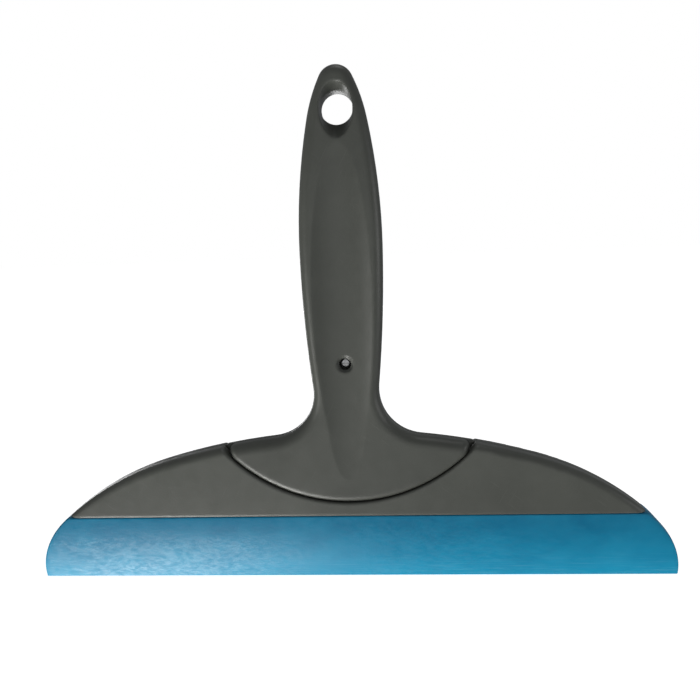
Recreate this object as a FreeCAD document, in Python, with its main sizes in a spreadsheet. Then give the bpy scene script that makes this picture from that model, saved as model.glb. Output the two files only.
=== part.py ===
import FreeCAD, Part
import math
import os

import Sketcher

# A window cleaning squeegee: a flat half-moon head that clamps a wedge-shaped silicone blade,
# and a two-shell handle with a screw in its neck and a hanging hole at its tip.
# The wiping edge lies along X at height 0, the handle points up, and the front faces -Y.

DIMENSIONS = {
    # head outline, three arcs from the crown to the wiping corner
    "half_width": 136.4,
    "crown_height": 63.8,
    "crown_radius": 280.0,
    "flank_radius": 118.0,
    "corner_radius": 37.0,
    "mouth_height": 29.0,
    "head_half_depth": 6.5,
    # handle outline
    "tip_height": 213.2,
    "tip_radius": 7.2,
    "shoulder_radius": 68.0,
    "upper_radius": 267.0,
    "grip_half_width": 16.8,
    "widest_height": 142.0,
    "side_radius": 560.0,
    "neck_radius": 19.5,
    # handle side profile
    "grip_half_depth": 9.0,
    "deepest_height": 135.0,
    "swell_start": 64.0,
    "swell_blend": 150.0,
    # curved seam between the yoke and the head covers
    "seam_height": 105.7,
    "seam_radius": 71.1,
    "seam_gap": 0.1,
    "grip_rounding": 4.5,
    "head_rounding": 3.0,
    "yoke_rounding": 2.7,
    "seam_rounding": 0.7,
    "mouth_rounding": 0.5,
    # finger scoop
    "scoop_width_radius": 25.0,
    "scoop_upper_radius": 2050.0,
    "scoop_lower_radius": 445.0,
    "scoop_floor": 5.1,
    "scoop_middle": 80.0,
    # walls and cavities
    "wall": 2.4,
    "split_gap": 0.05,
    "land_inset": 1.0,
    "cavity_bottom": 104.0,
    "cavity_top": 178.0,
    # core plate
    "plate_half_depth": 1.5,
    "plate_clearance": 0.1,
    "plate_bottom": 32.0,
    "plate_inset": 5.0,
    "tang_half_width": 7.0,
    "tang_fillet": 8.0,
    # silicone blade
    "shoulder_half_depth": 6.2,
    "shoulder_inset": 0.3,
    "edge_half_depth": 0.75,
    "flex_height": 23.0,
    "flex_radius": 5.85,
    "flex_clearance": 0.06,
    "root_bottom": 25.9,
    "root_top": 43.0,
    "root_half_depth": 4.0,
    "root_inset": 4.0,
    "root_rim": 2.3,
    "root_clearance": 0.1,
    # fasteners
    "screw_radius": 1.4,
    "screw_head_radius": 2.6,
    "screw_head_depth": 1.6,
    "screw_shank": 9.0,
    "screw_sink": 0.6,
    "screw_slot_half": 0.35,
    "screw_slot_reach": 1.5,
    "screw_slot_depth": 1.0,
    "boss_radius": 3.2,
    "hole_clearance": 0.2,
    "pilot_clearance": 0.05,
    "pilot_end": 5.0,
    "cover_screw_height": 37.5,
    "cover_screw_inner": 38.0,
    "cover_screw_outer": 92.0,
    "yoke_screw_height": 53.0,
    "yoke_screw_side": 26.0,
    "neck_screw_height": 93.3,
    "neck_bore_radius": 2.5,
    "neck_dish_radius": 3.3,
    "neck_dish_depth": 0.5,
    "neck_seat": 0.6,
    "neck_boss_radius": 4.0,
    "neck_boss_depth": 3.0,
    "neck_shank": 5.6,
    "neck_head_radius": 2.3,
    "neck_pilot_end": 6.6,
    # hanging hole
    "hang_height": 196.5,
    "hang_radius": 6.6,
    "hang_mouth_half_width": 6.7,
    "hang_mouth_half_height": 12.7,
    "hang_mouth_height": 195.5,
    "hang_flare_depth": 1.0,
}

doc = FreeCAD.newDocument("squeegee")
sheet = doc.addObject("Spreadsheet::Sheet", "Dims")
for row, (alias, number) in enumerate(DIMENSIONS.items(), start=1):
    sheet.set(f"A{row}", alias)
    sheet.set(f"B{row}", str(number))
    sheet.setAlias(f"B{row}", alias)
doc.recompute()

FRONT = -1
REAR = 1


# ---- sizes and points -------------------------------------------------------------------------

def value(*names):
    """Sum of sheet values. A name with a leading minus is taken away."""
    return sum(-sheet.get(name[1:]) if name.startswith("-") else sheet.get(name) for name in names)


def formula(*names):
    """The same sum as an expression on the sheet."""
    terms = [f"- Dims.{name[1:]}" if name.startswith("-") else f"+ Dims.{name}" for name in names]
    return "0 " + " ".join(terms)


def point(x, y):
    return FreeCAD.Vector(x, y, 0)


def flip(p):
    return point(-p.x, p.y)


def beyond(centre, other, distance):
    """The point at a distance from a centre, on the ray through another point."""
    ray = other - centre
    return centre + ray * (distance / ray.Length)


def circles_meet(a, radius_a, b, radius_b):
    """The crossing of two circles that lies to the left of the way from a to b."""
    way = b - a
    along = (radius_a ** 2 - radius_b ** 2 + way.Length ** 2) / (2 * way.Length)
    across = math.sqrt(radius_a ** 2 - along ** 2)
    unit = way / way.Length
    return a + unit * along + point(-unit.y, unit.x) * across


def on_circle_at_height(centre, radius, height):
    return point(centre.x + math.sqrt(radius ** 2 - (height - centre.y) ** 2), height)


# ---- centres of the outline's arcs ------------------------------------------------------------

CROWN = point(0, value("crown_height", "-crown_radius"))
CORNER = point(value("half_width", "-corner_radius"), 0)
FLANK = circles_meet(CROWN, value("crown_radius", "-flank_radius"),
                     CORNER, value("flank_radius", "-corner_radius"))
SEAM = point(0, value("seam_height"))
TIP = point(0, value("tip_height", "-tip_radius"))
SIDE = point(value("grip_half_width", "-side_radius"), value("widest_height"))
NECK = circles_meet(SIDE, value("side_radius", "neck_radius"),
                    CROWN, value("crown_radius", "neck_radius"))
UPPER = point(value("grip_half_width", "-upper_radius"), value("widest_height"))
SHOULDER = circles_meet(TIP, value("shoulder_radius", "-tip_radius"),
                        UPPER, value("upper_radius", "-shoulder_radius"))


# ---- loops: lists of lines and anticlockwise arcs ---------------------------------------------

def arc(centre, start, end, names=()):
    return {"centre": centre, "start": start, "end": end, "names": names}


def line(start, end):
    return {"centre": None, "start": start, "end": end, "names": ()}


def mirrored(piece):
    centre = None if piece["centre"] is None else flip(piece["centre"])
    return {"centre": centre, "start": flip(piece["end"]), "end": flip(piece["start"]),
            "names": piece["names"]}


def handle_loop():
    """Handle and yoke, down to the curved seam."""
    gap = value("seam_gap") / 2
    seam_end = circles_meet(CROWN, value("crown_radius"), SEAM, value("seam_radius") - gap)
    seam_end = seam_end if seam_end.x > 0 else flip(seam_end)
    to_tip = beyond(SHOULDER, TIP, value("shoulder_radius"))
    to_shoulder = beyond(UPPER, SHOULDER, value("upper_radius"))
    widest = point(value("grip_half_width"), value("widest_height"))
    to_neck = beyond(SIDE, NECK, value("side_radius"))
    to_crown = beyond(CROWN, NECK, value("crown_radius"))
    right = [
        arc(CROWN, seam_end, to_crown, ("crown_radius",)),
        arc(NECK, to_neck, to_crown, ("neck_radius",)),
        arc(SIDE, to_neck, widest, ("side_radius",)),
        arc(UPPER, widest, to_shoulder, ("upper_radius",)),
        arc(SHOULDER, to_shoulder, to_tip, ("shoulder_radius",)),
    ]
    tip = arc(TIP, to_tip, flip(to_tip), ("tip_radius",))
    seam = arc(SEAM, flip(seam_end), seam_end)
    return [seam] + right + [tip] + [mirrored(piece) for piece in reversed(right)]


def head_sides(inset, low, high):
    """The two flank and crown arcs from a height up to another height."""
    radius = value("flank_radius") - inset
    start = on_circle_at_height(FLANK, radius, low)
    joint = beyond(CROWN, FLANK, value("crown_radius") - inset)
    if high <= joint.y:
        end = on_circle_at_height(FLANK, radius, high)
        return start, [arc(FLANK, start, end)], end
    end = on_circle_at_height(CROWN, value("crown_radius") - inset, high)
    return start, [arc(FLANK, start, joint), arc(CROWN, joint, end)], end


def cover_loop():
    """The half-moon head below the curved seam."""
    radius = value("seam_radius") + value("seam_gap") / 2
    crossing = circles_meet(CROWN, value("crown_radius"), SEAM, radius)
    seam_end = crossing if crossing.x > 0 else flip(crossing)
    start, sides, _ = head_sides(0, value("mouth_height"), seam_end.y)
    sides[-1]["end"] = seam_end
    seam = arc(SEAM, flip(seam_end), seam_end)
    bottom = line(flip(start), start)
    return [bottom] + sides + [seam] + [mirrored(piece) for piece in reversed(sides)]


def root_loop(inset, low, high, rim):
    """The clamped part of the blade: it stays below the curved seam by a rim."""
    start, sides, end = head_sides(inset, low, high)
    radius = value("seam_radius") + rim
    drop = SEAM.y - high
    bay = point(math.sqrt(radius ** 2 - drop ** 2), high)
    ledge = line(end, bay)
    return ([line(flip(start), start)] + sides + [ledge, arc(SEAM, flip(bay), bay), mirrored(ledge)]
            + [mirrored(piece) for piece in reversed(sides)])


def plate_loop(grow):
    """The core plate: head shape with a tang that ends in a ring round the neck boss."""
    inset = value("plate_inset") - grow
    half = value("tang_half_width") + grow
    fillet = value("tang_fillet") - grow
    crown = value("crown_radius") - inset
    reach = half + fillet
    turn = point(reach, CROWN.y + math.sqrt((crown + fillet) ** 2 - reach ** 2))
    to_crown = beyond(CROWN, turn, crown)
    to_tang = point(half, turn.y)
    ring = point(0, value("neck_screw_height"))
    top = point(half, ring.y)
    low = value("plate_bottom") - grow
    start = on_circle_at_height(FLANK, value("flank_radius") - inset, low)
    joint = beyond(CROWN, FLANK, crown)
    right = [arc(FLANK, start, joint), arc(CROWN, joint, to_crown), arc(turn, to_tang, to_crown),
             line(to_tang, top)]
    end = arc(ring, top, flip(top))
    return [line(flip(start), start)] + right + [end] + [mirrored(piece) for piece in reversed(right)]


def cavity_loop():
    """The hollow inside the grip."""
    inset = value("wall")
    low, high = value("cavity_bottom"), value("cavity_top")
    radius = value("side_radius") - inset
    start = on_circle_at_height(SIDE, radius, low)
    widest = point(value("grip_half_width") - inset, value("widest_height"))
    end = on_circle_at_height(UPPER, value("upper_radius") - inset, high)
    right = [arc(SIDE, start, widest), arc(UPPER, widest, end)]
    return [line(flip(start), start)] + right + [line(end, flip(end))] + [
        mirrored(piece) for piece in reversed(right)]


def land_loop():
    """A line just inside the grip's outline, from below the cavity up round the tip."""
    inset = value("land_inset")
    start = on_circle_at_height(SIDE, value("side_radius") - inset,
                                value("cavity_bottom", "-wall"))
    widest = point(value("grip_half_width") - inset, value("widest_height"))
    to_shoulder = beyond(UPPER, SHOULDER, value("upper_radius") - inset)
    to_tip = beyond(SHOULDER, TIP, value("shoulder_radius") - inset)
    right = [arc(SIDE, start, widest), arc(UPPER, widest, to_shoulder),
             arc(SHOULDER, to_shoulder, to_tip)]
    tip = arc(TIP, to_tip, flip(to_tip))
    return [line(flip(start), start)] + right + [tip] + [
        mirrored(piece) for piece in reversed(right)]


# ---- sketches ---------------------------------------------------------------------------------

def new_body(label):
    body = doc.addObject("PartDesign::Body", label)
    body.Label = label
    return body


def new_sketch(body, name, plane_role, lift=()):
    plane = [item for item in body.Origin.OriginFeatures if item.Role == plane_role][0]
    sketch = body.newObject("Sketcher::SketchObject", name)
    sketch.AttachmentSupport = [(plane, "")]
    sketch.MapMode = "FlatFace"
    if lift:
        sketch.setExpression("AttachmentOffset.Base.z", formula(*lift))
    return sketch


def bind(sketch, kind, index, where, names):
    """A named distance from the sketch's origin to a point, bound to the sheet."""
    rule = sketch.addConstraint(Sketcher.Constraint(kind, -1, 1, index, where, value(*names)))
    sketch.setExpression(f"Constraints[{rule}]", formula(*names))


def bind_radius(sketch, index, names):
    rule = sketch.addConstraint(Sketcher.Constraint("Radius", index, value(*names)))
    sketch.setExpression(f"Constraints[{rule}]", formula(*names))


def draw_loop(sketch, pieces):
    """Closed loop of lines and arcs, joined end to end."""
    ends = []
    for piece in pieces:
        start, end, centre = piece["start"], piece["end"], piece["centre"]
        if centre is None:
            index = sketch.addGeometry(Part.LineSegment(start, end), False)
        else:
            circle = Part.Circle(centre, FreeCAD.Vector(0, 0, 1), (start - centre).Length)
            first = math.atan2(start.y - centre.y, start.x - centre.x)
            last = math.atan2(end.y - centre.y, end.x - centre.x)
            last += 0 if last > first else 2 * math.pi
            index = sketch.addGeometry(Part.ArcOfCircle(circle, first, last), False)
            if piece["names"]:
                bind_radius(sketch, index, piece["names"])
        ends += [(index, 1, start), (index, 2, end)]
    while ends:
        index, where, spot = ends.pop()
        near = min(ends, key=lambda other: (other[2] - spot).Length if other[0] != index else 1e9)
        ends.remove(near)
        sketch.addConstraint(Sketcher.Constraint("Coincident", index, where, near[0], near[1]))


def draw_circle(sketch, x_names, y_names, radius_names):
    centre = point(value(*x_names), value(*y_names))
    circle = Part.Circle(centre, FreeCAD.Vector(0, 0, 1), value(*radius_names))
    index = sketch.addGeometry(circle, False)
    bind_radius(sketch, index, radius_names)
    bind(sketch, "DistanceX", index, 3, x_names)
    bind(sketch, "DistanceY", index, 3, y_names)


def draw_polygon(sketch, corners):
    """Closed polygon whose corners are pairs of named sums."""
    spots = [point(value(*x), value(*y)) for x, y in corners]
    count = len(spots)
    first = sketch.GeometryCount
    for step in range(count):
        sketch.addGeometry(Part.LineSegment(spots[step], spots[(step + 1) % count]), False)
    for step in range(count):
        after = first + (step + 1) % count
        sketch.addConstraint(Sketcher.Constraint("Coincident", first + step, 2, after, 1))
        bind(sketch, "DistanceX", first + step, 1, corners[step][0])
        bind(sketch, "DistanceY", first + step, 1, corners[step][1])


# ---- features ---------------------------------------------------------------------------------

def settle(body, feature, cutting):
    """Recompute, and stop if the feature did not add or remove any volume."""
    before = feature.BaseFeature.Shape.Volume if feature.BaseFeature else 0
    doc.recompute()
    change = feature.Shape.Volume - before
    if (change >= 0) if cutting else (change <= 0):
        raise RuntimeError(f"{body.Label} {feature.Name} changed nothing")
    return feature


def pad(body, sketch, side, length):
    """Material from the sketch towards the front or the rear."""
    feature = body.newObject("PartDesign::Pad", sketch.Name + "_pad")
    feature.Profile = sketch
    feature.Reversed = side == REAR
    feature.setExpression("Length", formula(*length))
    return settle(body, feature, False)


def pad_both(body, sketch, names):
    """Material to both sides of the sketch's plane; the names add up to the half length."""
    feature = body.newObject("PartDesign::Pad", sketch.Name + "_pad")
    feature.Profile = sketch
    feature.Midplane = True
    feature.setExpression("Length", f"2 * ({formula(*names)})")
    return settle(body, feature, False)


def pocket(body, sketch, side, depth):
    """Removal from the sketch towards the front or the rear."""
    feature = body.newObject("PartDesign::Pocket", sketch.Name + "_pocket")
    feature.Profile = sketch
    feature.Reversed = side == FRONT
    feature.setExpression("Length", formula(*depth))
    return settle(body, feature, True)


def pocket_both(body, sketch, names=()):
    """Removal to both sides of the sketch's plane, right through unless a half length is named."""
    feature = body.newObject("PartDesign::Pocket", sketch.Name + "_pocket")
    feature.Profile = sketch
    feature.Midplane = True
    if names:
        feature.setExpression("Length", f"2 * ({formula(*names)})")
    else:
        feature.Type = "ThroughAll"
    return settle(body, feature, True)


def revolve(body, kind, sketch):
    """Revolution or Groove about the sketch's own construction line."""
    feature = body.newObject(f"PartDesign::{kind}", sketch.Name + "_" + kind.lower())
    feature.Profile = sketch
    feature.ReferenceAxis = (sketch, ["Axis0"])
    feature.Angle = 360
    return settle(body, feature, kind == "Groove")


def fillet(body, radius, wanted):
    """Round every edge of the body's tip that the test accepts."""
    base = body.Tip
    names = [f"Edge{number}" for number, edge in enumerate(base.Shape.Edges, start=1)
             if wanted(edge)]
    feature = body.newObject("PartDesign::Fillet", f"{body.Name}_{radius}")
    feature.Base = (base, names)
    feature.setExpression("Radius", formula(radius))
    return settle(body, feature, True)


def spots_of(edge):
    low, high = edge.ParameterRange
    return [edge.valueAt(low + (high - low) * step / 4) for step in range(5)]


def on_seam(spot):
    from_seam = math.hypot(spot.x, spot.z - SEAM.y)
    return abs(from_seam - value("seam_radius")) < 0.5 and spot.z < value("crown_height")


def outer_edge(edge):
    """An edge of the front or rear face that follows the outline, away from seam and mouth."""
    spots = spots_of(edge)
    deep = all(abs(spot.y) > value("grip_half_depth") / 3 for spot in spots)
    across = abs(spots[0].y - spots[-1].y) < 1e-6 and abs(spots[0].z - spots[-1].z) < 1e-6
    through = math.hypot(spots[0].x - spots[-1].x, spots[0].z - spots[-1].z) < 1e-6
    level = across and abs(spots[2].z - spots[0].z) < 1e-6
    return deep and not level and not through and not all(on_seam(spot) for spot in spots)


def seam_edge(edge):
    spots = spots_of(edge)
    return all(on_seam(spot) and abs(spot.y) > value("head_half_depth") / 2 for spot in spots)


def mouth_edge(edge):
    """The lower outer edge of a cover, where the blade comes out."""
    level = all(abs(spot.z - value("mouth_height")) < 1e-6 for spot in spots_of(edge))
    return level and all(abs(spot.y) > value("shoulder_half_depth") for spot in spots_of(edge))


def cut_side_profile(body, side):
    """Shape the handle's face: flat at the yoke, a hollow blend, then a long swell to the tip."""
    flat, deep = value("head_half_depth"), value("grip_half_depth")
    start, blend, peak = value("swell_start"), value("swell_blend"), value("deepest_height")
    rise, run = deep - flat, peak - start
    swell = (run ** 2 + rise ** 2) / (2 * rise) - blend
    hollow_centre = point(side * (flat + blend), start)
    swell_centre = point(side * (deep - swell), peak)
    joint = beyond(swell_centre, hollow_centre, swell)
    over = value("tip_height") + flat
    top = point(side * (swell_centre.x * side + math.sqrt(swell ** 2 - (over - peak) ** 2)), over)
    outside = side * 2 * deep
    base = point(side * flat, 0)
    bend = point(side * flat, start)
    if side == REAR:
        curves = [arc(hollow_centre, joint, bend), arc(swell_centre, joint, top)]
    else:
        curves = [arc(hollow_centre, bend, joint), arc(swell_centre, top, joint)]
    frame = [line(base, bend)] + curves + [
        line(top, point(outside, over)), line(point(outside, over), point(outside, 0)),
        line(point(outside, 0), base)]
    sketch = new_sketch(body, body.Name + "_profile", "YZ_Plane")
    draw_loop(sketch, frame)
    return pocket_both(body, sketch)


def round_holes(body, name, places, radius, side, depth):
    """Equal round holes from the split plane to a depth."""
    sketch = new_sketch(body, name, "XZ_Plane")
    for x_names, y_names in places:
        draw_circle(sketch, x_names, y_names, radius)
    return pocket(body, sketch, side, depth)


def sunk_holes(body, name, places, radius, depth_from):
    """Equal round holes from the rear face down to a distance from the split plane."""
    sketch = new_sketch(body, name, "XZ_Plane", depth_from)
    for x_names, y_names in places:
        draw_circle(sketch, x_names, y_names, radius)
    return pocket(body, sketch, REAR, ("head_half_depth",))


COVER_PLACES = [((sign + name,), ("cover_screw_height",))
                for name in ("cover_screw_inner", "cover_screw_outer") for sign in ("", "-")]
YOKE_PLACES = [((sign + "yoke_screw_side",), ("yoke_screw_height",)) for sign in ("", "-")]
NECK_PLACE = [((), ("neck_screw_height",))]
HANG_PLACE = [((), ("hang_height",))]


def plate_recess(body, side):
    sketch = new_sketch(body, body.Name + "_recess", "XZ_Plane")
    draw_loop(sketch, plate_loop(value("plate_clearance")))
    return pocket(body, sketch, side, ("plate_half_depth", "plate_clearance"))


def outline_pad(body, side, loop, depth):
    sketch = new_sketch(body, body.Name + "_outline", "XZ_Plane")
    sketch.setExpression("AttachmentOffset.Base.z", f"{-side} * Dims.split_gap")
    draw_loop(sketch, loop)
    return pad(body, sketch, side, depth + ("-split_gap",))


# ---- handle -----------------------------------------------------------------------------------

def handle_shell(label, side):
    """Half of the handle and yoke, with its outer roundings, grip cavity and plate recess."""
    body = new_body(label)
    outline_pad(body, side, handle_loop(), ("grip_half_depth",))
    cut_side_profile(body, side)
    fillet(body, "grip_rounding", outer_edge)
    fillet(body, "yoke_rounding" if side == FRONT else "seam_rounding", seam_edge)
    plate_recess(body, side)
    hollow = new_sketch(body, label + "_hollow", "XZ_Plane")
    draw_loop(hollow, cavity_loop())
    pocket(body, hollow, side, ("scoop_floor", "-wall"))
    round_holes(body, label + "_hang", HANG_PLACE, ("hang_radius",), side, ("grip_half_depth",))
    return body


def cut_scoop(body):
    """Long shallow dish in the front face: a round section turned about two far axes along X,
    slowly up the grip and more quickly down towards the yoke."""
    middle = ("-scoop_floor", "-scoop_width_radius")
    for end, turned_back in (("upper", False), ("lower", True)):
        sketch = new_sketch(body, f"scoop_{end}", "XY_Plane", ("scoop_middle",))
        draw_circle(sketch, (), middle, ("scoop_width_radius",))
        far = ("-scoop_floor", f"-scoop_{end}_radius")
        axis = sketch.addGeometry(Part.LineSegment(point(-1, value(*far)), point(1, value(*far))),
                                  True)
        bind(sketch, "DistanceY", axis, 1, far)
        bind(sketch, "DistanceY", axis, 2, far)
        feature = body.newObject("PartDesign::Groove", f"scoop_{end}_groove")
        feature.Profile = sketch
        feature.ReferenceAxis = (sketch, ["Axis0"])
        feature.Reversed = turned_back
        feature.Angle = 6
        settle(body, feature, True)


def cut_hang_mouth(body):
    """Flared mouth: an oval at the front that narrows to the round hole behind it."""
    oval = new_sketch(body, "mouth_oval", "XZ_Plane", ("grip_half_depth",))
    half_width, half_height = value("hang_mouth_half_width"), value("hang_mouth_half_height")
    centre = point(0, value("hang_mouth_height"))
    ellipse = Part.Ellipse(centre + point(0, half_height), centre + point(half_width, 0), centre)
    oval.addGeometry(ellipse, False)
    throat = new_sketch(body, "mouth_throat", "XZ_Plane", ("hang_flare_depth",))
    draw_circle(throat, (), ("hang_height",), ("hang_radius",))
    feature = body.newObject("PartDesign::SubtractiveLoft", "mouth_loft")
    feature.Profile = oval
    feature.Sections = [throat]
    return settle(body, feature, True)


def handle_front_shell():
    body = handle_shell("handle_front_shell", FRONT)
    cut_scoop(body)
    cut_hang_mouth(body)
    boss = new_sketch(body, "neck_boss", "XZ_Plane")
    draw_circle(boss, *NECK_PLACE[0], ("neck_boss_radius",))
    pad(body, boss, REAR, ("neck_boss_depth",))
    ring = new_sketch(body, "neck_boss_root", "XZ_Plane")
    draw_circle(ring, *NECK_PLACE[0], ("neck_boss_radius",))
    pad(body, ring, FRONT, ("scoop_floor", "-wall"))
    bore = new_sketch(body, "neck_bore", "XZ_Plane", ("-neck_seat",))
    draw_circle(bore, *NECK_PLACE[0], ("neck_bore_radius",))
    pocket(body, bore, FRONT, ("grip_half_depth",))
    dish = new_sketch(body, "neck_dish", "XZ_Plane", ("scoop_floor", "-neck_dish_depth"))
    draw_circle(dish, *NECK_PLACE[0], ("neck_dish_radius",))
    pocket(body, dish, FRONT, ("grip_half_depth",))
    round_holes(body, "neck_clearance", NECK_PLACE, ("screw_radius", "hole_clearance"), REAR,
                ("grip_half_depth",))
    round_holes(body, "yoke_pilot", YOKE_PLACES, ("screw_radius", "pilot_clearance"), FRONT,
                ("pilot_end",))
    return body


def bearing_land(body):
    """Raised rim round the cavity that bears on the other shell, inside a fine shadow line."""
    sketch = new_sketch(body, "land", "XZ_Plane", ("-split_gap",))
    draw_loop(sketch, land_loop())
    draw_loop(sketch, cavity_loop())
    draw_circle(sketch, *HANG_PLACE[0], ("hang_radius",))
    return pad(body, sketch, FRONT, ("split_gap", "split_gap"))


def handle_rear_shell():
    body = handle_shell("handle_rear_shell", REAR)
    bearing_land(body)
    round_holes(body, "neck_socket", NECK_PLACE, ("neck_boss_radius", "hole_clearance"), REAR,
                ("neck_boss_depth", "plate_clearance"))
    round_holes(body, "neck_pilot", NECK_PLACE, ("screw_radius", "pilot_clearance"), REAR,
                ("neck_pilot_end",))
    round_holes(body, "yoke_clearance", YOKE_PLACES, ("screw_radius", "hole_clearance"), REAR,
                ("grip_half_depth",))
    sunk_holes(body, "yoke_sink", YOKE_PLACES, ("screw_head_radius", "hole_clearance"),
               ("-head_half_depth", "screw_sink", "screw_head_depth"))
    return body


# ---- head -------------------------------------------------------------------------------------

def head_cover(label, side):
    """Half of the head, hollow over the blade's root, with bosses that pin the root."""
    body = new_body(label)
    outline_pad(body, side, cover_loop(), ("head_half_depth",))
    fillet(body, "head_rounding", outer_edge)
    fillet(body, "seam_rounding", seam_edge)
    fillet(body, "mouth_rounding", mouth_edge)
    room = value("root_clearance")
    hollow = new_sketch(body, label + "_hollow", "XZ_Plane")
    low = value("mouth_height") - value("head_half_depth")
    inset = value("root_inset") - room
    draw_loop(hollow, root_loop(inset, low, value("root_top") + room, value("root_rim") - room))
    for place in COVER_PLACES:
        draw_circle(hollow, *place, ("boss_radius",))
    pocket(body, hollow, side, ("root_half_depth", "root_clearance"))
    plate_recess(body, side)
    return body


def head_front_cover():
    body = head_cover("head_front_cover", FRONT)
    round_holes(body, "front_pilot", COVER_PLACES, ("screw_radius", "pilot_clearance"), FRONT,
                ("pilot_end",))
    return body


def head_rear_cover():
    body = head_cover("head_rear_cover", REAR)
    round_holes(body, "rear_clearance", COVER_PLACES, ("screw_radius", "hole_clearance"), REAR,
                ("grip_half_depth",))
    sunk_holes(body, "rear_sink", COVER_PLACES, ("screw_head_radius", "hole_clearance"),
               ("-head_half_depth", "screw_sink", "screw_head_depth"))
    return body


def head_core_plate():
    """Stiff plate between the covers, with a tang that hooks over the neck boss."""
    body = new_body("head_core_plate")
    sketch = new_sketch(body, "plate_outline", "XZ_Plane")
    draw_loop(sketch, plate_loop(0))
    draw_circle(sketch, *NECK_PLACE[0], ("neck_boss_radius", "hole_clearance"))
    for place in COVER_PLACES + YOKE_PLACES:
        draw_circle(sketch, *place, ("screw_radius", "hole_clearance"))
    pad_both(body, sketch, ("plate_half_depth",))
    return body


# ---- blade ------------------------------------------------------------------------------------

def blade_root():
    """Clamped root with a shoulder under the covers, hollowed round the flex line."""
    body = new_body("blade_root")
    shoulder = new_sketch(body, "shoulder", "XZ_Plane")
    inset = value("shoulder_inset")
    top = value("mouth_height") - value("root_clearance")
    start, sides, end = head_sides(inset, value("root_bottom"), top)
    draw_loop(shoulder, [line(flip(start), start)] + sides + [line(end, flip(end))]
              + [mirrored(piece) for piece in reversed(sides)])
    pad_both(body, shoulder, ("shoulder_half_depth",))
    root = new_sketch(body, "root", "XZ_Plane")
    draw_loop(root, root_loop(value("root_inset"), value("root_bottom"), value("root_top"),
                              value("root_rim")))
    pad_both(body, root, ("root_half_depth",))
    slot = new_sketch(body, "plate_slot", "XZ_Plane")
    draw_loop(slot, plate_loop(value("plate_clearance")))
    pocket_both(body, slot, ("plate_half_depth", "plate_clearance"))
    pins = new_sketch(body, "boss_holes", "XZ_Plane")
    for place in COVER_PLACES:
        draw_circle(pins, *place, ("boss_radius", "hole_clearance"))
    pocket_both(body, pins)
    flex = new_sketch(body, "flex_hollow", "YZ_Plane")
    draw_circle(flex, (), ("flex_height",), ("flex_radius", "flex_clearance"))
    pocket_both(body, flex)
    return body


def blade_lip():
    """Wedge below the flex line: a round top that turns in the root, and a thin wiping edge."""
    body = new_body("blade_lip")
    radius, edge, height = value("flex_radius"), value("edge_half_depth"), value("flex_height")
    step = radius - edge
    face = (height ** 2 + step ** 2) / (2 * step)
    section = new_sketch(body, "section", "YZ_Plane")
    right = arc(point(radius - face, height), point(edge, 0), point(radius, height))
    top = arc(point(0, height), point(radius, height), point(-radius, height), ("flex_radius",))
    draw_loop(section, [line(point(-edge, 0), point(edge, 0)), right, top, mirrored(right)])
    pad_both(body, section, ("half_width",))
    ends = new_sketch(body, "ends", "XZ_Plane")
    corner = beyond(FLANK, CORNER, value("flank_radius"))
    tip = point(value("half_width"), 0)
    high = on_circle_at_height(FLANK, value("flank_radius"), value("mouth_height"))
    outside = point(value("half_width") + value("corner_radius"), 0)
    above = point(outside.x, high.y)
    cut = [arc(CORNER, tip, corner), arc(FLANK, corner, high), line(high, above),
           line(above, outside), line(outside, tip)]
    draw_loop(ends, cut)
    draw_loop(ends, [mirrored(piece) for piece in reversed(cut)])
    pocket_both(body, ends)
    return body


# ---- fasteners --------------------------------------------------------------------------------

def screw(name, head_radius, shank_names):
    """Pan-head self-tapping screw: seat of the head at the origin, shank towards -Y."""
    body = new_body(name)
    profile = new_sketch(body, name + "_profile", "YZ_Plane")
    shank, head = ("screw_radius",), (head_radius,)
    blunt = tuple("-" + part for part in shank_names)
    draw_polygon(profile, [
        (blunt, ()), (blunt + ("screw_sink",), shank), ((), shank), ((), head),
        (("screw_head_depth", "-screw_sink"), head), (("screw_head_depth",), ("screw_radius",)),
        (("screw_head_depth",), ())])
    axis = profile.addGeometry(Part.LineSegment(point(-1, 0), point(1, 0)), True)
    bind(profile, "DistanceY", axis, 1, ())
    bind(profile, "DistanceY", axis, 2, ())
    revolve(body, "Revolution", profile)
    half, reach = "screw_slot_half", "screw_slot_reach"
    for name_end, wide, tall in (("across", reach, half), ("upright", half, reach)):
        slot = new_sketch(body, f"{name}_{name_end}", "XZ_Plane", ("-screw_head_depth",))
        draw_polygon(slot, [(("-" + wide,), ("-" + tall,)), ((wide,), ("-" + tall,)),
                            ((wide,), (tall,)), (("-" + wide,), (tall,))])
        pocket(body, slot, FRONT, ("screw_slot_depth",))
    return body


def screw_group(label, places):
    """Identical screws through the head from the rear, as separate solids of one sub-part."""
    bodies = []
    for number, (x_names, y_names) in enumerate(places, start=1):
        body = screw(f"{label}_{number}", "screw_head_radius", ("screw_shank",))
        body.setExpression("Placement.Base.x", formula(*x_names))
        body.setExpression("Placement.Base.y",
                           formula("head_half_depth", "-screw_sink", "-screw_head_depth"))
        body.setExpression("Placement.Base.z", formula(*y_names))
        bodies.append(body)
    group = doc.addObject("Part::Compound", label)
    group.Label = label
    group.Links = bodies
    return group


def neck_screw():
    """The screw in the deep hole of the neck, driven from the front."""
    body = screw("neck_screw", "neck_head_radius", ("neck_shank",))
    body.Placement = FreeCAD.Placement(point(0, 0), FreeCAD.Rotation(FreeCAD.Vector(0, 0, 1), 180))
    body.setExpression("Placement.Base.y", formula("neck_seat"))
    body.setExpression("Placement.Base.z", formula("neck_screw_height"))
    return body


# ---- the whole object -------------------------------------------------------------------------

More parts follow.
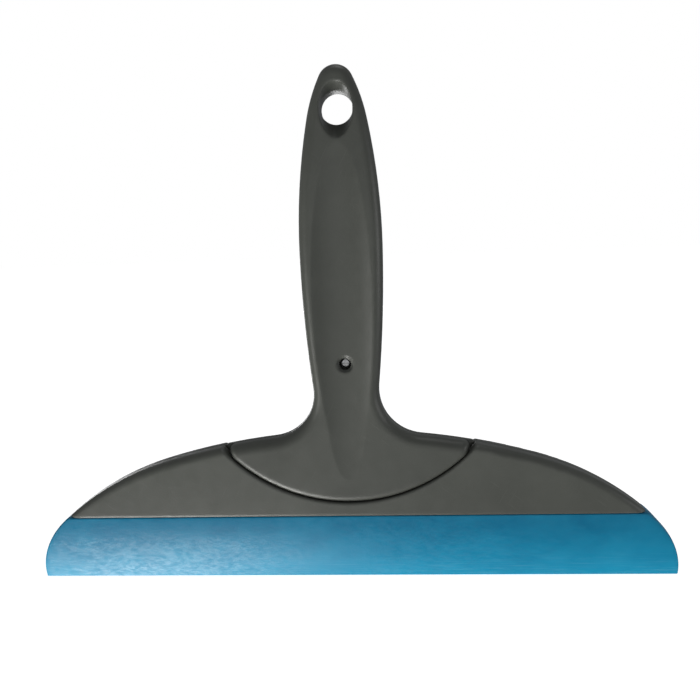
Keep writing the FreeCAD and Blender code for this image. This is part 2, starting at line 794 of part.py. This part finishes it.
PIECES = [
    handle_front_shell(),
    handle_rear_shell(),
    head_front_cover(),
    head_rear_cover(),
    head_core_plate(),
    blade_root(),
    blade_lip(),
    screw_group("cover_screws", COVER_PLACES),
    screw_group("yoke_screws", YOKE_PLACES),
    neck_screw(),
]
doc.recompute()

for item in doc.Objects:
    if "Invalid" in item.State or "Error" in item.State:
        raise RuntimeError(f"{item.Label} failed: {item.State}")
for piece in PIECES:
    if piece.Shape.isNull() or not piece.Shape.isValid():
        raise RuntimeError(f"{piece.Label} has no valid shape")

os.makedirs("parts", exist_ok=True)
for piece in PIECES:
    piece.Shape.exportStep(f"parts/{piece.Label}.step")
    box = piece.Shape.BoundBox
    print(f"{piece.Label}: {len(piece.Shape.Solids)} solids, {piece.Shape.Volume:.0f} mm3, "
          f"X {box.XMin:.1f} {box.XMax:.1f}, Y {box.YMin:.1f} {box.YMax:.1f}, "
          f"Z {box.ZMin:.1f} {box.ZMax:.1f}")
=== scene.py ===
import math

import bmesh
import bpy
from mathutils import Matrix, Vector


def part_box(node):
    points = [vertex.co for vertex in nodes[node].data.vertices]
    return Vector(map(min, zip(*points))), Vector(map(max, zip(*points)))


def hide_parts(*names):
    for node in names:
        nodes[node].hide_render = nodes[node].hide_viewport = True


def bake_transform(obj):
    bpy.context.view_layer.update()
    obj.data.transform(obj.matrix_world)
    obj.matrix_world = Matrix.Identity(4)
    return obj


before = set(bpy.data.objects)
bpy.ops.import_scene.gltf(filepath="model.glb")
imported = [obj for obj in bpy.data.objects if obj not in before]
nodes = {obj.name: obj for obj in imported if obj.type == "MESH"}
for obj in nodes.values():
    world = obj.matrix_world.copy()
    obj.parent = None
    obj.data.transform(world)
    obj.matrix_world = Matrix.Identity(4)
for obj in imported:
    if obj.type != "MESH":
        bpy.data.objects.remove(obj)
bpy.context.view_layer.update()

# ---- sizes, in metres -------------------------------------------------------------------------

MM = 0.001
LIP_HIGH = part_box("blade_lip")[1]
ROOT_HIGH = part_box("blade_root")[1]
PLATE_LOW, PLATE_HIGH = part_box("head_core_plate")

# The head's outline is three arcs, from the crown over the flank to the wiping corner. The seam
# between the yoke and the covers is an arc round a point above the head.
HALF_WIDTH = LIP_HIGH[0]
CROWN_HEIGHT = 63.8 * MM
CROWN_RADIUS = 280 * MM
FLANK_RADIUS = 118 * MM
CORNER_RADIUS = 37 * MM
SEAM_HEIGHT = 105.7 * MM
SEAM_RADIUS = 71.1 * MM


def circles_meet(a, radius_a, b, radius_b):
    """The crossing of two circles that lies to the left of the way from a to b."""
    way = b - a
    along = (radius_a ** 2 - radius_b ** 2 + way.length_squared) / (2 * way.length)
    across = math.sqrt(radius_a ** 2 - along ** 2)
    unit = way.normalized()
    return a + unit * along + Vector((-unit.y, unit.x)) * across


CROWN = Vector((0, CROWN_HEIGHT - CROWN_RADIUS))
CORNER = Vector((HALF_WIDTH - CORNER_RADIUS, 0))
FLANK = circles_meet(CROWN, CROWN_RADIUS - FLANK_RADIUS, CORNER, FLANK_RADIUS - CORNER_RADIUS)
CORNER_TOP = (FLANK + (CORNER - FLANK).normalized() * FLANK_RADIUS).y


def head_half_width(height):
    """Half the width of the head's outline at a height, on the corner arc or the flank arc."""
    centre, radius = (CORNER, CORNER_RADIUS) if height < CORNER_TOP else (FLANK, FLANK_RADIUS)
    return centre.x + math.sqrt(radius ** 2 - (height - centre.y) ** 2)


# ---- camera -----------------------------------------------------------------------------------

CAMERA_TARGET = Vector((0, 0, 0.110))
CAMERA_DISTANCE = 0.300
CAMERA_AZIMUTH = math.radians(4.0)
CAMERA_ELEVATION = math.radians(7.1)
CAMERA_ROLL = math.radians(-2.07)
CAMERA_NEAR = 0.01
SENSOR = 36.0
LENS = 37.2
SHIFT_X = 0.0082
SHIFT_Y = -0.0389


def make_camera():
    """The camera looks along +Y from a little above and to the right, with a slight roll."""
    data = bpy.data.cameras.new("camera")
    data.sensor_width = SENSOR
    data.lens = LENS
    data.shift_x = SHIFT_X
    data.shift_y = SHIFT_Y
    data.clip_start = CAMERA_NEAR
    camera = bpy.data.objects.new("camera", data)
    bpy.context.scene.collection.objects.link(camera)
    back = Vector((math.sin(CAMERA_AZIMUTH) * math.cos(CAMERA_ELEVATION),
                   -math.cos(CAMERA_AZIMUTH) * math.cos(CAMERA_ELEVATION),
                   math.sin(CAMERA_ELEVATION)))
    aim = (-back).to_track_quat("-Z", "Y").to_matrix().to_4x4()
    turn = Matrix.Rotation(CAMERA_ROLL, 4, "Z")
    camera.matrix_world = Matrix.Translation(CAMERA_TARGET + back * CAMERA_DISTANCE) @ aim @ turn
    bpy.context.scene.camera = camera


# ---- materials --------------------------------------------------------------------------------

class Shader:
    """A node material that is built one node at a time."""

    def __init__(self, name):
        self.material = bpy.data.materials.new(name)
        self.material.use_nodes = True
        self.tree = self.material.node_tree
        self.surface = self.tree.nodes["Principled BSDF"]

    def put(self, socket, given):
        """Link another node's output into a socket, or set the socket's own number or colour."""
        if isinstance(given, bpy.types.NodeSocket):
            self.tree.links.new(given, socket)
        else:
            socket.default_value = given

    def node(self, kind, output=0, settings=None, **inputs):
        """The output of a new node. An input is named, or numbered as in _0."""
        made = self.tree.nodes.new("ShaderNode" + kind)
        for name, setting in (settings or {}).items():
            setattr(made, name, setting)
        for name, given in inputs.items():
            label = int(name[1:]) if name[0] == "_" else name.replace("_", " ")
            self.put(made.inputs[label], given)
        return made.outputs[output]

    def maths(self, operation, first, second=0.0):
        """The result of one operation on two numbers."""
        return self.node("Math", settings={"operation": operation}, _0=first, _1=second)

    def ramp(self, given, low, high, start=0.0, end=1.0):
        """A number between low and high as the given number goes from start to end."""
        return self.node("MapRange", Value=given, From_Min=start, From_Max=end, To_Min=low,
                         To_Max=high)

    def blend(self, share, first, second):
        """A colour between two colours: the first at 0, the second at 1."""
        made = self.tree.nodes.new("ShaderNodeMix")
        made.data_type = "RGBA"
        self.put(made.inputs[0], share)
        self.put(made.inputs[6], first)
        self.put(made.inputs[7], second)
        return made.outputs[2]

    def place(self, scale=(1, 1, 1), turn=(0, 0, 0)):
        """The place on the piece in metres, turned, then scaled along each axis."""
        spot = self.node("TexCoord", 3)
        return self.node("Mapping", settings={"vector_type": "TEXTURE"}, Vector=spot,
                         Scale=tuple(1 / part for part in scale), Rotation=turn)

    def noise(self, scale, detail=2.0, roughness=0.5, stretch=(1, 1, 1), turn=(0, 0, 0)):
        """Smooth noise with about as many spots to the metre as the scale."""
        return self.node("TexNoise", Vector=self.place(stretch, turn), Scale=scale, Detail=detail,
                         Roughness=roughness)

    def bump(self, height, distance, below=None, strength=1.0):
        """A normal that a height has roughened, over another normal if there is one below."""
        inputs = {"Height": height, "Distance": distance, "Strength": strength}
        if below is not None:
            inputs["Normal"] = below
        return self.node("Bump", **inputs)

    def edges(self, radius, start, end):
        """1 at an outer or inner edge, 0 on flat or gently curved faces."""
        rounded = self.node("Bevel", settings={"samples": 6}, Radius=radius)
        true = self.node("NewGeometry", 1)
        same = self.node("VectorMath", 1, settings={"operation": "DOT_PRODUCT"}, _0=rounded,
                         _1=true)
        return self.ramp(same, 1.0, 0.0, start, end)

    def set(self, **inputs):
        """Give the surface its inputs, and hand over the finished material."""
        for name, given in inputs.items():
            self.put(self.surface.inputs[name.replace("_", " ")], given)
        return self.material


def hairlines(shader, turn, stretch):
    """Sparse thin straight marks: noise that is stretched along one direction."""
    streak = shader.noise(1.0, 1.0, 0.4, stretch, turn)
    gate = shader.noise(90.0, 1.0)
    marks = shader.ramp(streak, 0.0, 1.0, 0.70, 0.735)
    return shader.maths("MULTIPLY", marks, shader.ramp(gate, 0.0, 1.0, 0.52, 0.60))


GREY = (0.066, 0.070, 0.061)
HEAD_GREY = tuple(part * 1.06 for part in GREY)
BLACK = (0.030, 0.031, 0.032)


def moulded_plastic(name, colour, gloss):
    """Finely textured plastic with faint flow marks, hairline scratches and rubbed edges."""
    made = Shader(name)
    flow = made.noise(38.0, 4.0, 0.6)
    cloud = made.noise(210.0, 3.0, 0.6)
    grain = made.noise(3600.0, 3.0, 0.7)
    pits = made.noise(1500.0, 2.0, 0.5)
    marks = made.maths("MAXIMUM", hairlines(made, (0, 0.5, 0), (3200, 40, 55)),
                       hairlines(made, (0, -0.9, 0), (2900, 40, 75)))
    worn = made.maths("MULTIPLY", made.edges(0.7 * MM, 0.90, 0.995),
                      made.ramp(cloud, 0.25, 1.0, 0.35, 0.65))
    dark = tuple(part * 0.90 for part in colour) + (1,)
    pale = tuple(part * 1.11 for part in colour) + (1,)
    rubbed = tuple(part * 1.5 + 0.012 for part in colour) + (1,)
    base = made.blend(made.ramp(flow, 0, 1, 0.3, 0.7), dark, pale)
    speckled = made.blend(made.ramp(grain, 0, 0.16, 0.55, 0.75), base, rubbed)
    scratched = made.blend(made.maths("MULTIPLY", marks, 0.22), speckled, rubbed)
    edged = made.blend(made.maths("MULTIPLY", worn, 0.45), scratched, rubbed)
    shine = made.ramp(cloud, gloss - 0.05, gloss + 0.06, 0.3, 0.7)
    smoother = made.maths("SUBTRACT", shine, made.maths("MULTIPLY", worn, 0.10))
    softened = made.node("Bevel", settings={"samples": 8}, Radius=1.6 * MM)
    coarse = made.bump(pits, 0.030 * MM, softened, 0.55)
    fine = made.bump(grain, 0.016 * MM, coarse, 0.6)
    cut = made.bump(made.maths("MULTIPLY", marks, -1.0), 0.02 * MM, fine, 0.5)
    return made.set(Base_Color=edged, Roughness=smoother, Normal=cut, IOR=1.46)


def silicone(name):
    """Glossy blue silicone, darker up under the head and paler towards the thin wiping edge:
    partly its thickness, partly painted shade under the head and painted light from below. It has
    cloudy patches all over and a dry film in streaks near the edge."""
    made = Shader(name)
    # the darker blue high up and the paler blue at the thin edge: partly the silicone's thickness,
    # partly painted shade under the head and painted light from below
    deep_shaded_blue = (0.001, 0.138, 0.258, 1)
    pale = (0.006, 0.246, 0.418, 1)
    cloudy = (0.030, 0.370, 0.560, 1)
    dusty = (0.20, 0.48, 0.62, 1)
    up = made.node("Attribute", 2, settings={"attribute_name": "height_share"})
    wave = made.noise(22.0, 3.0, 0.5, (1, 1, 2.2))
    cloud = made.noise(75.0, 4.0, 0.55, (1, 1, 1.6))
    fleck = made.noise(330.0, 3.0, 0.6, (1, 1, 2.0))
    fine = made.noise(2200.0, 2.0, 0.6)
    wipe = made.noise(1.0, 2.0, 0.5, (60, 900, 2600))
    shifted = made.maths("ADD", up, made.ramp(wave, -0.10, 0.10, 0.3, 0.7))
    # darker higher up, paler at the wiping edge: partly thickness, partly painted shade and light
    blue_with_painted_shade = made.blend(made.ramp(shifted, 0, 1, 0.05, 0.84), pale, deep_shaded_blue)
    clouded = made.blend(made.ramp(cloud, 0, 0.22, 0.35, 0.85), blue_with_painted_shade, cloudy)
    low_down = made.ramp(up, 0.25, 0.0, 0, 0.45)
    film = made.maths("MULTIPLY", made.ramp(wipe, 0, 1, 0.50, 0.8), low_down)
    colour = made.blend(film, clouded, dusty)
    shine = made.ramp(fleck, 0.31, 0.50, 0.38, 0.66)
    dull = made.maths("ADD", shine, made.maths("MULTIPLY", film, 0.3))
    soft = made.bump(cloud, 0.35 * MM, strength=0.35)
    flecked = made.bump(fleck, 0.10 * MM, soft, 0.35)
    skin = made.bump(fine, 0.010 * MM, flecked, 0.5)
    return made.set(Base_Color=colour, Roughness=dull, Normal=skin, IOR=1.42,
                    Specular_IOR_Level=0.33, Subsurface_Weight=0.12,
                    Subsurface_Radius=(0.3, 0.8, 1.0), Subsurface_Scale=1.5 * MM)


def zinc_steel(name):
    """Zinc-plated screw steel: clouded, with fine turning marks and brighter edges."""
    made = Shader(name)
    shaded = (0.42, 0.42, 0.41, 1)
    bright = (0.60, 0.60, 0.62, 1)
    rubbed = (0.72, 0.72, 0.72, 1)
    grain = made.noise(1.0, 3.0, 0.6, (2500, 9000, 9000))
    cloud = made.noise(900.0, 3.0, 0.6)
    worn = made.edges(0.2 * MM, 0.85, 0.99)
    base = made.blend(made.ramp(cloud, 0, 1, 0.35, 0.65), shaded, bright)
    edged = made.blend(made.maths("MULTIPLY", worn, 0.5), base, rubbed)
    turned = made.bump(grain, 0.006 * MM, strength=0.5)
    return made.set(Base_Color=edged, Metallic=1.0, Normal=turned,
                    Roughness=made.ramp(cloud, 0.26, 0.42, 0.3, 0.7))


def dress(names, material):
    """Give CAD nodes one material."""
    for name in names:
        slots = nodes[name].data.materials
        slots.clear()
        slots.append(material)


# ---- the blade --------------------------------------------------------------------------------

# Each size in the depth is half the blade's thickness. The shoulder is the top of what shows.
EDGE_HALF_DEPTH = 0.75 * MM
EDGE_ROUNDING = 0.45 * MM
END_ROUNDING = 0.35 * MM
END_ROUNDING_GROWTH = 1.0 * MM
LARGEST_ROUNDING = 0.98
SHOULDER_HALF_DEPTH = ROOT_HIGH[1]
SHOULDER_TOP = LIP_HIGH[2]
SHOULDER_ROUNDING = 0.5 * MM
ROOT_TOP = ROOT_HIGH[2]
ROOT_HALF_DEPTH = 4 * MM
ROOT_INSET = 4 * MM
ROOT_RIM = 2.3 * MM
ROOT_ROUNDING = 0.5 * MM
PLATE_CLEARANCE = 0.1 * MM
SLOT_HALF_DEPTH = PLATE_HIGH[1] + PLATE_CLEARANCE
SLOT_INSET = 4.9 * MM
SLOT_BOTTOM = PLATE_LOW[2] - PLATE_CLEARANCE
FACE_STEPS = 120
ROUND_STEPS = 6
WEDGE_STEPS = 34
QUARTER_TURN = [math.pi / 2 * step / ROUND_STEPS for step in range(ROUND_STEPS + 1)]


def wedge_half_depth(height):
    """The wedge's face is an arc that is upright under the head and leans in below it."""
    step = SHOULDER_HALF_DEPTH - EDGE_HALF_DEPTH
    radius = (SHOULDER_TOP ** 2 + step ** 2) / (2 * step)
    return SHOULDER_HALF_DEPTH - radius + math.sqrt(radius ** 2 - (SHOULDER_TOP - height) ** 2)


def blade_levels():
    """Height, half depth and inset from the head's outline, from the edge up to the head."""
    levels = []
    for angle in QUARTER_TURN:
        height = EDGE_ROUNDING * (1 - math.cos(angle))
        drawn_in = EDGE_ROUNDING * (1 - math.sin(angle))
        levels.append((height, wedge_half_depth(height) - drawn_in, drawn_in))
    top = SHOULDER_TOP - SHOULDER_ROUNDING
    for step in range(1, WEDGE_STEPS + 1):
        height = EDGE_ROUNDING + (top - EDGE_ROUNDING) * step / WEDGE_STEPS
        levels.append((height, wedge_half_depth(height), 0))
    for angle in QUARTER_TURN[1:]:
        drawn_in = SHOULDER_ROUNDING * (1 - math.cos(angle))
        levels.append((top + SHOULDER_ROUNDING * math.sin(angle),
                       SHOULDER_HALF_DEPTH - drawn_in, drawn_in))
    return levels


def rounded_ring(half_length, half_depth, rounding):
    """A rounded rectangle seen from above, with the same number of points whatever its size. Its
    rounding always leaves a short straight stretch at each end."""
    rounding = min(rounding, LARGEST_ROUNDING * half_depth)
    straight = half_length - rounding
    ring = []
    for side in (-1, 1):
        ring += [Vector((-side * straight * (1 - 2 * step / FACE_STEPS), side * half_depth))
                 for step in range(FACE_STEPS + 1)]
        for angle in QUARTER_TURN[1:]:
            ring.append(Vector((side * (straight + rounding * math.sin(angle)),
                                side * (half_depth - rounding * (1 - math.cos(angle))))))
        for angle in QUARTER_TURN[:-1]:
            ring.append(Vector((side * (straight + rounding * math.cos(angle)),
                                -side * (half_depth - rounding * (1 - math.sin(angle))))))
    return ring


def under_seam(x, height):
    """The root's top stays a rim below the curved seam."""
    radius = SEAM_RADIUS + ROOT_RIM
    if abs(x) >= radius:
        return height
    return min(height, SEAM_HEIGHT - math.sqrt(radius ** 2 - x ** 2))


def blade_rings():
    """Rings of points from the wiping edge up to the shoulder, then up round the hidden root and
    down inside its slot."""
    rings = []
    for height, half_depth, inset in blade_levels():
        rounding = END_ROUNDING + END_ROUNDING_GROWTH * height / SHOULDER_TOP
        ring = rounded_ring(head_half_width(height) - inset, half_depth, rounding)
        rings.append([(x, y, height) for x, y in ring])
    hidden = [(SHOULDER_TOP, ROOT_HALF_DEPTH, ROOT_INSET), (ROOT_TOP, ROOT_HALF_DEPTH, ROOT_INSET),
              (ROOT_TOP, SLOT_HALF_DEPTH, SLOT_INSET), (SLOT_BOTTOM, SLOT_HALF_DEPTH, SLOT_INSET)]
    for height, half_depth, inset in hidden:
        ring = rounded_ring(head_half_width(height) - inset, half_depth, ROOT_ROUNDING)
        rings.append([(x, y, under_seam(x, height)) for x, y in ring])
    return rings


def loft(rings):
    """A closed shape through rings that all have the same number of points."""
    shape = bmesh.new()
    rows = [[shape.verts.new(spot) for spot in ring] for ring in rings]
    for lower, upper in zip(rows, rows[1:]):
        for step in range(len(lower)):
            after = (step + 1) % len(lower)
            shape.faces.new((lower[step], lower[after], upper[after], upper[step]))
    shape.faces.new(list(reversed(rows[0])))
    shape.faces.new(rows[-1])
    bmesh.ops.recalc_face_normals(shape, faces=shape.faces)
    return shape


def make_blade():
    """One silicone moulding: wiping edge, wedge, shoulder, and a slotted root in the head."""
    shape = loft(blade_rings())
    share = shape.verts.layers.float.new("height_share")
    for vert in shape.verts:
        vert[share] = min(1, vert.co.z / SHOULDER_TOP)
    for face in shape.faces:
        # only the sides, which have four corners, are smooth; the two end caps stay flat
        face.smooth = len(face.verts) == 4
    mesh = bpy.data.meshes.new("silicone_blade")
    shape.to_mesh(mesh)
    shape.free()
    blade = bpy.data.objects.new("silicone_blade", mesh)
    bpy.context.scene.collection.objects.link(blade)
    mesh.materials.append(silicone("blue_silicone"))
    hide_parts("blade_root", "blade_lip")
    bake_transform(blade)


# ---- floor and light --------------------------------------------------------------------------

FLOOR_HALF_WIDTH = 4.0
FLOOR_DROP = 0.3 * MM
FLOOR_GLOW = 0.93
FILL_STRENGTH = 0.23
LIGHT_TARGET = Vector((0, 0, 0.08))
WARM = (1, 0.99, 0.97)
WHITE = (1, 1, 1)


def make_floor():
    """A wide pale floor just under the wiping edge, which neither shades nor lights the object."""
    half = FLOOR_HALF_WIDTH
    mesh = bpy.data.meshes.new("floor")
    mesh.from_pydata([(-half, -half, 0), (half, -half, 0), (half, half, 0), (-half, half, 0)], [],
                     [(0, 1, 2, 3)])
    floor = bpy.data.objects.new("floor", mesh)
    floor.location.z = -FLOOR_DROP
    bpy.context.scene.collection.objects.link(floor)
    made = Shader("pale_floor")
    shade = made.ramp(made.noise(6.0, 2.0), 0.48, 0.52, 0.3, 0.7)
    colour = made.node("CombineColor", Red=shade, Green=shade, Blue=shade)
    made.set(Base_Color=colour, Roughness=0.9, Emission_Color=WHITE + (1,),
             Emission_Strength=FLOOR_GLOW)
    mesh.materials.append(made.material)
    floor.visible_glossy = False
    floor.visible_diffuse = False
    floor.visible_shadow = False


def make_world():
    """White where the camera sees it, and a dim even light on the object."""
    world = bpy.data.worlds.new("studio")
    bpy.context.scene.world = world
    world.use_nodes = True
    tree = world.node_tree
    fill = tree.nodes["Background"]
    fill.inputs["Color"].default_value = (0.95, 0.97, 1, 1)
    fill.inputs["Strength"].default_value = FILL_STRENGTH
    seen = tree.nodes.new("ShaderNodeBackground")
    seen.inputs["Color"].default_value = WHITE + (1,)
    path = tree.nodes.new("ShaderNodeLightPath")
    mixed = tree.nodes.new("ShaderNodeMixShader")
    tree.links.new(path.outputs["Is Camera Ray"], mixed.inputs[0])
    tree.links.new(fill.outputs[0], mixed.inputs[1])
    tree.links.new(seen.outputs[0], mixed.inputs[2])
    tree.links.new(mixed.outputs[0], tree.nodes["World Output"].inputs["Surface"])


def soft_light(name, spot, size, watts, colour=WHITE, target=LIGHT_TARGET):
    """A rectangular softbox that faces its target."""
    data = bpy.data.lights.new(name, "AREA")
    data.shape = "RECTANGLE"
    data.size, data.size_y = size
    data.energy = watts
    data.color = colour
    light = bpy.data.objects.new(name, data)
    light.location = spot
    light.rotation_mode = "QUATERNION"
    light.rotation_quaternion = (target - Vector(spot)).to_track_quat("-Z", "Y")
    bpy.context.scene.collection.objects.link(light)


def make_lights():
    """Three softboxes low at the left give the gloss. Wide ones fill in the other sides."""
    soft_light("key", (-0.31, -0.46, -0.54), (0.34, 0.38), 4.5, WARM, Vector((-0.05, 0, 0.06)))
    soft_light("under", (-0.38, -0.25, -0.80), (0.30, 0.30), 3.6, WARM)
    soft_light("left", (-0.80, -0.50, -0.15), (0.30, 0.30), 1.6, WARM)
    soft_light("right", (0.95, -0.25, 0.15), (0.5, 0.5), 1.7)
    soft_light("front", (0.10, -1.00, 0.10), (0.8, 0.8), 1.0)
    soft_light("back", (-0.30, 0.85, -0.35), (0.8, 0.8), 7.0)
    soft_light("top", (0.10, 0.12, 1.15), (0.5, 0.5), 1.3)


# ---- the whole scene --------------------------------------------------------------------------

make_camera()
handle_grey = moulded_plastic("handle_grey", GREY, 0.39)
head_grey = moulded_plastic("head_grey", HEAD_GREY, 0.38)
core_black = moulded_plastic("core_black", BLACK, 0.42)
steel = zinc_steel("screw_steel")
dress(["handle_front_shell", "handle_rear_shell"], handle_grey)
dress(["head_front_cover", "head_rear_cover"], head_grey)
dress(["head_core_plate"], core_black)
dress(["cover_screws", "yoke_screws", "neck_screw"], steel)
make_blade()
make_floor()
make_world()
make_lights()
# plain colours, without a film curve
bpy.context.scene.view_settings.view_transform = "Standard"
